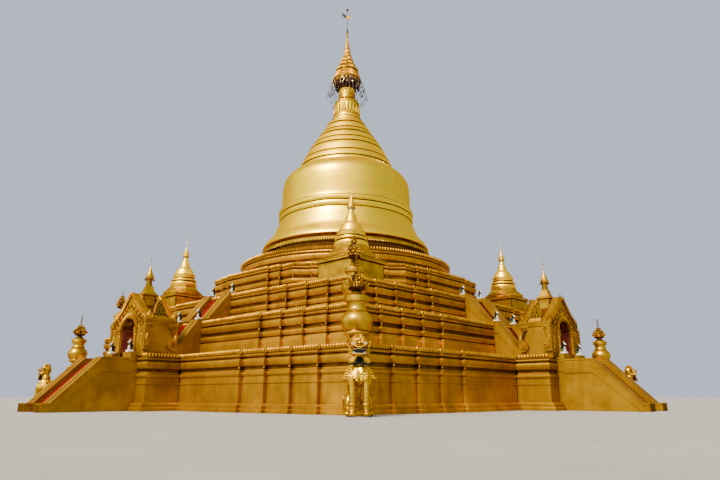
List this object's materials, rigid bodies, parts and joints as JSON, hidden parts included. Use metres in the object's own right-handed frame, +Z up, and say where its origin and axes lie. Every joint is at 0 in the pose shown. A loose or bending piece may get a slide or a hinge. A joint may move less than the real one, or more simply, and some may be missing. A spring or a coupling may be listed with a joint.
{
  "type": "stupa, scale model 1:2",
  "caption": "Gilded bell-shaped stupa on square, eight-sided and round terraces, with stairs, portals, corner stupas, vases and guardian lions, at half scale",
  "frame": {"origin": "on the axis at ground level", "axes": "+Z up along the axis, the four stairs along X and Y"},
  "size_m": [34.96, 34.96, 28.275],
  "materials": {
    "terrace_gilding": "matte weathered gold leaf and gold paint on plaster",
    "relief_gilding": "satin gold leaf on moulded plaster relief",
    "polished_gilding": "smooth polished gold leaf, soft highlight",
    "umbrella_metal": "pierced gilded metal",
    "stair_paint": "yellow-gold painted masonry with red treads",
    "portal_paint": "orange-gold painted masonry with gilded carving"
  },
  "bodies": {
    "root": {"terrace_1": "terrace_gilding", "terrace_2": "terrace_gilding", "terrace_3": "terrace_gilding", "octagon_terrace": "terrace_gilding", "round_terrace": "terrace_gilding", "lotus_base": "relief_gilding", "bell": "polished_gilding", "ringed_cone": "polished_gilding", "lotus_neck": "relief_gilding", "bud": "polished_gilding", "umbrella": "umbrella_metal", "finial_rod": "umbrella_metal", "diamond_bud": "umbrella_metal", "north_east_stupa": "relief_gilding", "north_east_lower_vase": "relief_gilding", "north_east_upper_vase": "relief_gilding", "north_east_lion": "relief_gilding", "north_west_stupa": "relief_gilding", "north_west_lower_vase": "relief_gilding", "north_west_upper_vase": "relief_gilding", "north_west_lion": "relief_gilding", "south_west_stupa": "relief_gilding", "south_west_lower_vase": "relief_gilding", "south_west_upper_vase": "relief_gilding", "south_west_lion": "relief_gilding", "south_east_stupa": "relief_gilding", "south_east_lower_vase": "relief_gilding", "south_east_upper_vase": "relief_gilding", "south_east_lion": "relief_gilding", "east_porch": "terrace_gilding", "east_lower_stair": "stair_paint", "east_middle_stair": "stair_paint", "east_upper_stair": "stair_paint", "east_portal_left_wall": "portal_paint", "east_portal_right_wall": "portal_paint", "east_portal_roof": "portal_paint", "north_porch": "terrace_gilding", "north_lower_stair": "stair_paint", "north_middle_stair": "stair_paint", "north_upper_stair": "stair_paint", "north_portal_left_wall": "portal_paint", "north_portal_right_wall": "portal_paint", "north_portal_roof": "portal_paint", "west_porch": "terrace_gilding", "west_lower_stair": "stair_paint", "west_middle_stair": "stair_paint", "west_upper_stair": "stair_paint", "west_portal_left_wall": "portal_paint", "west_portal_right_wall": "portal_paint", "west_portal_roof": "portal_paint", "south_porch": "terrace_gilding", "south_lower_stair": "stair_paint", "south_middle_stair": "stair_paint", "south_upper_stair": "stair_paint", "south_portal_left_wall": "portal_paint", "south_portal_right_wall": "portal_paint", "south_portal_roof": "portal_paint"},
    "vane": {"vane": "umbrella_metal"}
  },
  "joints": [
    {"name": "vane_turn", "type": "hinge", "parent": "root", "child": "vane", "pos_m": [0, 0, 27.3], "axis": [0, 0, 1], "continuous": true}
  ]
}
